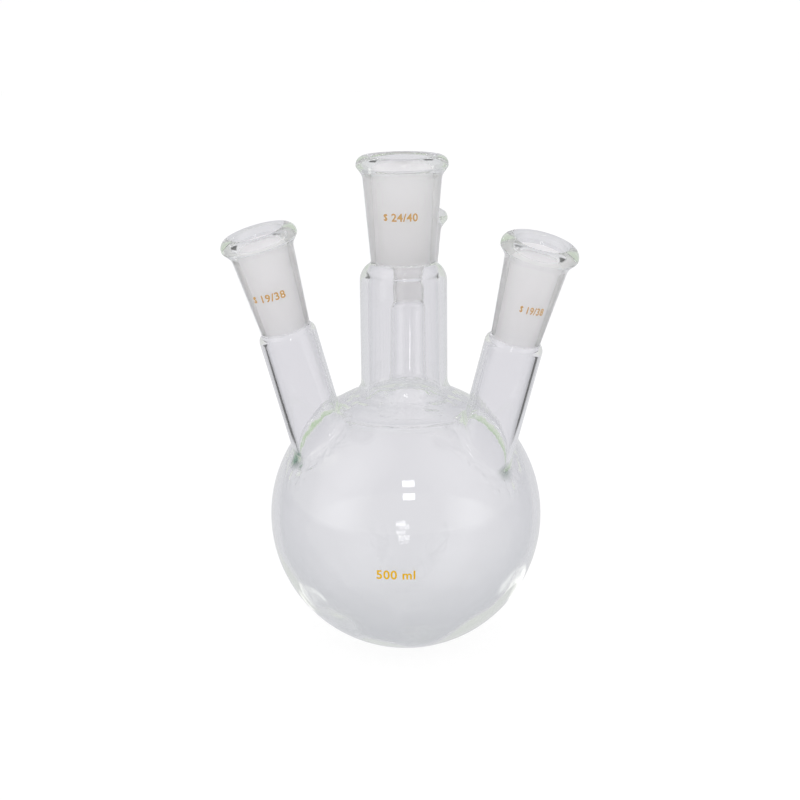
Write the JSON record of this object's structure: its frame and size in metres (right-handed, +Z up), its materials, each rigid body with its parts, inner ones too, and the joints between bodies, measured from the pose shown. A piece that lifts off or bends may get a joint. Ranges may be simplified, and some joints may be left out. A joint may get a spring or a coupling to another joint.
{
  "type": "four-neck flask",
  "caption": "Round-bottom laboratory flask of clear glass with an upright centre neck and slanted side necks that end in ground conical sockets.",
  "frame": {"origin": "on the centre neck's axis where a clamp grips its straight tube, 124.5 mm above the lowest point of the bulb", "axes": "+Z up along the centre neck, +Y towards the back side neck to within two degrees, +X to the right of someone who faces the flask with two side necks in front"},
  "size_m": [0.1293, 0.1236, 0.1915],
  "materials": {
    "glass": "clear borosilicate glass, ground matt inside the sockets"
  },
  "bodies": {
    "root": {"flask": "glass"}
  },
  "joints": []
}
